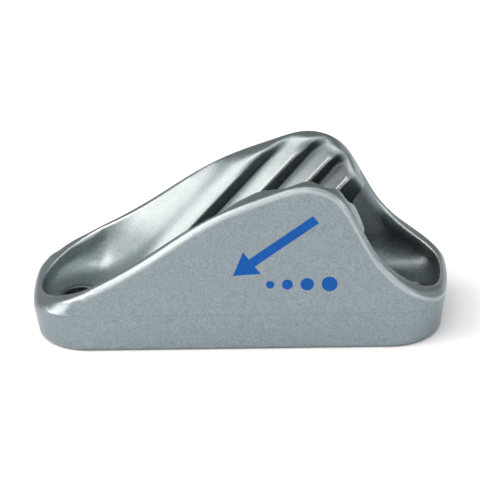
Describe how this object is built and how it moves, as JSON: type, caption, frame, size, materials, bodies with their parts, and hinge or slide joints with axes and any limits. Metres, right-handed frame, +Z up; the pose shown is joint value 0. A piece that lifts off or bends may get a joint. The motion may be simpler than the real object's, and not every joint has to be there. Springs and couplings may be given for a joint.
{
  "type": "jam cleat",
  "caption": "One-piece cast jam cleat for small rope: a V channel with slanting teeth on both walls, between two rounded bowls that hold the deck screws.",
  "frame": {"origin": "middle of the outline, on the base", "axes": "+Z up from the deck; the loaded end of the rope leaves at -X and its tail at +X; Y = 0 is the plane of symmetry"},
  "size_m": [0.0658, 0.0234, 0.0281],
  "materials": {
    "cast_alloy": "fine-grained satin, as cast and tumbled"
  },
  "bodies": {
    "root": {"cleat_body": "cast_alloy"}
  },
  "joints": []
}
